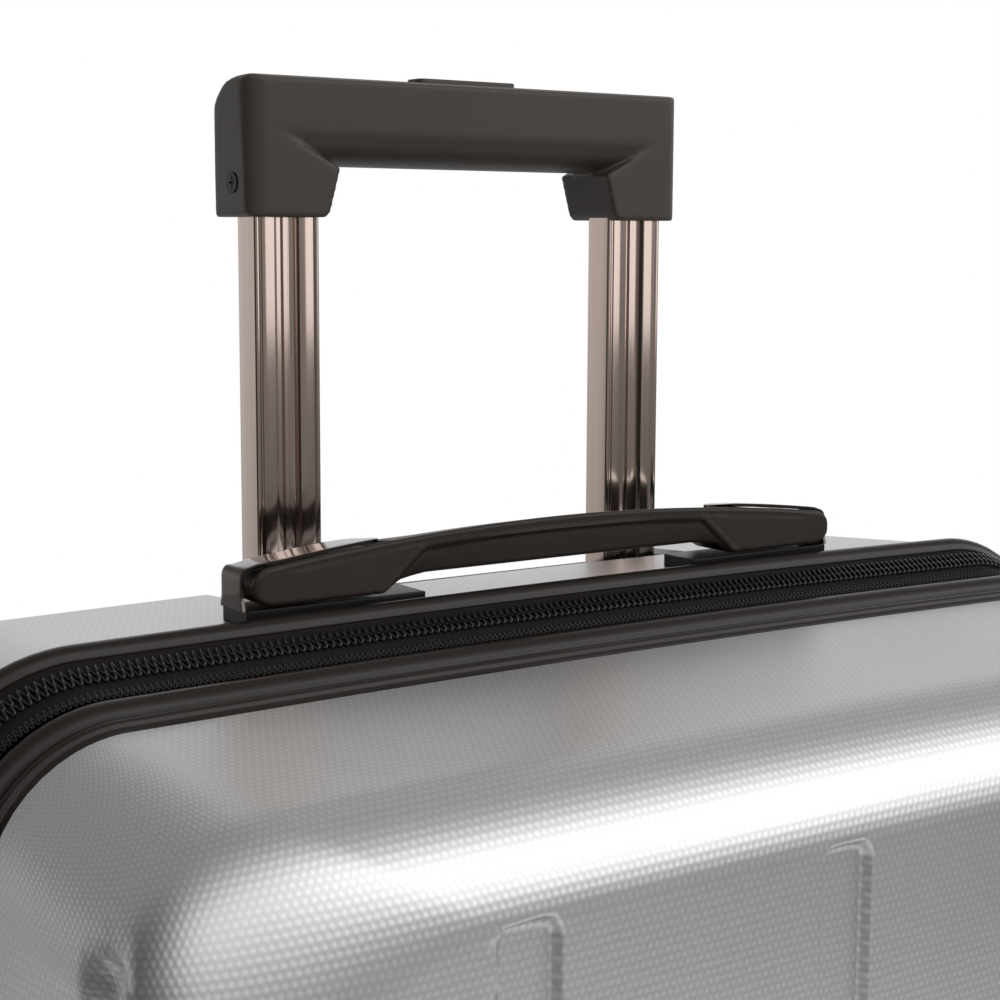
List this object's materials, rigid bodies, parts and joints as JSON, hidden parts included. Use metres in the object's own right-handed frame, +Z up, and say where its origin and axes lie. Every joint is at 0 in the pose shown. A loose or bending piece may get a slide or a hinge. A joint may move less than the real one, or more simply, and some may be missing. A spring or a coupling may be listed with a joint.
{
  "type": "hard shell suitcase",
  "caption": "Expandable hard shell suitcase with a zip band, telescopic trolley handle, carry handles, combination lock and twin-wheel swivel casters.",
  "frame": {"origin": "on the floor, under the middle of the case", "axes": "+X across the case, +Y from the front face to the back face, +Z up"},
  "size_m": [0.5374, 0.262, 0.9378],
  "materials": {
    "shell": "satin, fine embossed lattice",
    "trim": "glossy extruded PVC",
    "zip_tape": "woven polyester",
    "zip_coil": "glossy nylon",
    "lining": "polyester lining cloth",
    "tube": "anodised, brushed along its length",
    "black_plastic": "fine grained",
    "grip_plastic": "fine leather grain",
    "soft_grip": "soft touch",
    "gunmetal": "dark chrome",
    "steel": "plated",
    "dial": "satin",
    "wheel": "polyurethane tyre"
  },
  "bodies": {
    "case": {"back_shell": "shell", "back_trim": "trim", "back_zip_tape": "zip_tape", "back_zip_coil": "zip_coil", "back_lining": "lining", "outer_tubes": "tube", "trolley_bezel": "black_plastic", "tube_foot": "black_plastic", "top_handle_bases": "black_plastic", "side_handle_bases": "black_plastic", "hinge_tape": "zip_tape", "lock_body": "black_plastic", "rear_caster_housings": "black_plastic"},
    "lid": {"front_zip_tape": "zip_tape", "front_zip_coil": "zip_coil", "gusset": "zip_tape", "expander_coil_rear": "zip_coil"},
    "front_case": {"front_shell": "shell", "front_trim": "trim", "expander_coil_front": "zip_coil", "front_lining": "lining", "front_caster_housings": "black_plastic"},
    "trolley": {"inner_tubes": "tube", "tube_plugs": "black_plastic", "grip_shell": "grip_plastic", "grip_screws": "steel", "button_spring": "steel"},
    "release": {"release_button": "grip_plastic", "push_rods": "steel"},
    "pins": {"lock_pins": "steel"},
    "top_handle": {"top_handle_grip": "soft_grip", "top_handle_straps": "gunmetal"},
    "side_handle": {"side_handle_grip": "soft_grip", "side_handle_straps": "gunmetal"},
    "dial_1": {"lock_dial_1": "dial"},
    "dial_2": {"lock_dial_2": "dial"},
    "dial_3": {"lock_dial_3": "dial"},
    "lock_slide": {"lock_release": "gunmetal"},
    "key": {"key_cylinder": "steel"},
    "slider_upper": {"zip_slider_upper": "gunmetal"},
    "slider_lower": {"zip_slider_lower": "gunmetal"},
    "pull_upper": {"zip_pull_upper": "gunmetal"},
    "pull_lower": {"zip_pull_lower": "gunmetal"},
    "fork_rear_left": {"fork_rear_left": "black_plastic", "axle_rear_left": "steel"},
    "wheel_rear_left_1": {"wheel_rear_left_1": "wheel"},
    "wheel_rear_left_2": {"wheel_rear_left_2": "wheel"},
    "fork_rear_right": {"fork_rear_right": "black_plastic", "axle_rear_right": "steel"},
    "wheel_rear_right_1": {"wheel_rear_right_1": "wheel"},
    "wheel_rear_right_2": {"wheel_rear_right_2": "wheel"},
    "fork_front_left": {"fork_front_left": "black_plastic", "axle_front_left": "steel"},
    "wheel_front_left_1": {"wheel_front_left_1": "wheel"},
    "wheel_front_left_2": {"wheel_front_left_2": "wheel"},
    "fork_front_right": {"fork_front_right": "black_plastic", "axle_front_right": "steel"},
    "wheel_front_right_1": {"wheel_front_right_1": "wheel"},
    "wheel_front_right_2": {"wheel_front_right_2": "wheel"}
  },
  "joints": [
    {"name": "lid_hinge", "type": "hinge", "parent": "case", "child": "lid", "pos_m": [-0.257, -0.0036, 0.408], "axis": [0, 0, -1], "range_deg": [0, 180]},
    {"name": "expander", "type": "slide", "parent": "lid", "child": "front_case", "axis": [0, -1, 0], "range_m": [0, 0.045]},
    {"name": "trolley_slide", "type": "slide", "parent": "case", "child": "trolley", "axis": [0, 0, 1], "range_m": [-0.164, 0.118]},
    {"name": "button_press", "type": "slide", "parent": "trolley", "child": "release", "axis": [0, 0, -1], "range_m": [0, 0.004], "stiffness_N_per_m": 700, "springref_m": -0.003, "deforming": ["button_spring"]},
    {"name": "pins_retract", "type": "slide", "parent": "trolley", "child": "pins", "axis": [0, 1, 0], "range_m": [0, 0.0024]},
    {"name": "top_handle_lift", "type": "slide", "parent": "case", "child": "top_handle", "axis": [0, 0, 1], "range_m": [0, 0.014], "stiffness_N_per_m": 250, "springref_m": -0.002},
    {"name": "side_handle_lift", "type": "slide", "parent": "case", "child": "side_handle", "axis": [1, 0, 0], "range_m": [0, 0.014], "stiffness_N_per_m": 250, "springref_m": -0.004},
    {"name": "dial_turn_1", "type": "hinge", "parent": "case", "child": "dial_1", "pos_m": [0.2514, 0.036, 0.608], "axis": [0, 0, 1], "continuous": true},
    {"name": "dial_turn_2", "type": "hinge", "parent": "case", "child": "dial_2", "pos_m": [0.2514, 0.036, 0.616], "axis": [0, 0, 1], "continuous": true},
    {"name": "dial_turn_3", "type": "hinge", "parent": "case", "child": "dial_3", "pos_m": [0.2514, 0.036, 0.624], "axis": [0, 0, 1], "continuous": true},
    {"name": "lock_slide_move", "type": "slide", "parent": "case", "child": "lock_slide", "axis": [0, 0, 1], "range_m": [0, 0.005], "stiffness_N_per_m": 300, "springref_m": -0.002},
    {"name": "key_turn", "type": "hinge", "parent": "case", "child": "key", "pos_m": [0.2566, 0.036, 0.572], "axis": [1, 0, 0], "range_deg": [0, 90]},
    {"name": "slider_upper_move", "type": "slide", "parent": "case", "child": "slider_upper", "axis": [0, 0, 1], "range_m": [0, 0.05]},
    {"name": "slider_lower_move", "type": "slide", "parent": "case", "child": "slider_lower", "axis": [0, 0, -1], "range_m": [0, 0.38]},
    {"name": "pull_upper_swing", "type": "hinge", "parent": "slider_upper", "child": "pull_upper", "pos_m": [0.25614, -0.0036, 0.624], "axis": [0, -1, 0], "range_deg": [0, 160]},
    {"name": "pull_lower_swing", "type": "hinge", "parent": "slider_lower", "child": "pull_lower", "pos_m": [0.25614, -0.0036, 0.58], "axis": [0, -1, 0], "range_deg": [0, 160]},
    {"name": "swivel_rear_left", "type": "hinge", "parent": "case", "child": "fork_rear_left", "pos_m": [-0.193, 0.084, 0.05], "axis": [0, 0, 1], "continuous": true},
    {"name": "roll_rear_left_1", "type": "hinge", "parent": "fork_rear_left", "child": "wheel_rear_left_1", "pos_m": [-0.2035, 0.101, 0.024], "axis": [1, 0, 0], "continuous": true},
    {"name": "roll_rear_left_2", "type": "hinge", "parent": "fork_rear_left", "child": "wheel_rear_left_2", "pos_m": [-0.1825, 0.101, 0.024], "axis": [1, 0, 0], "continuous": true},
    {"name": "swivel_rear_right", "type": "hinge", "parent": "case", "child": "fork_rear_right", "pos_m": [0.193, 0.084, 0.05], "axis": [0, 0, 1], "continuous": true},
    {"name": "roll_rear_right_1", "type": "hinge", "parent": "fork_rear_right", "child": "wheel_rear_right_1", "pos_m": [0.1825, 0.101, 0.024], "axis": [1, 0, 0], "continuous": true},
    {"name": "roll_rear_right_2", "type": "hinge", "parent": "fork_rear_right", "child": "wheel_rear_right_2", "pos_m": [0.2035, 0.101, 0.024], "axis": [1, 0, 0], "continuous": true},
    {"name": "swivel_front_left", "type": "hinge", "parent": "front_case", "child": "fork_front_left", "pos_m": [-0.193, -0.088, 0.05], "axis": [0, 0, 1], "continuous": true},
    {"name": "roll_front_left_1", "type": "hinge", "parent": "fork_front_left", "child": "wheel_front_left_1", "pos_m": [-0.2035, -0.071, 0.024], "axis": [1, 0, 0], "continuous": true},
    {"name": "roll_front_left_2", "type": "hinge", "parent": "fork_front_left", "child": "wheel_front_left_2", "pos_m": [-0.1825, -0.071, 0.024], "axis": [1, 0, 0], "continuous": true},
    {"name": "swivel_front_right", "type": "hinge", "parent": "front_case", "child": "fork_front_right", "pos_m": [0.193, -0.088, 0.05], "axis": [0, 0, 1], "continuous": true},
    {"name": "roll_front_right_1", "type": "hinge", "parent": "fork_front_right", "child": "wheel_front_right_1", "pos_m": [0.1825, -0.071, 0.024], "axis": [1, 0, 0], "continuous": true},
    {"name": "roll_front_right_2", "type": "hinge", "parent": "fork_front_right", "child": "wheel_front_right_2", "pos_m": [0.2035, -0.071, 0.024], "axis": [1, 0, 0], "continuous": true}
  ],
  "couplings": [
    {"joint": "pins_retract", "follows": "button_press", "ratio": 0.6}
  ]
}
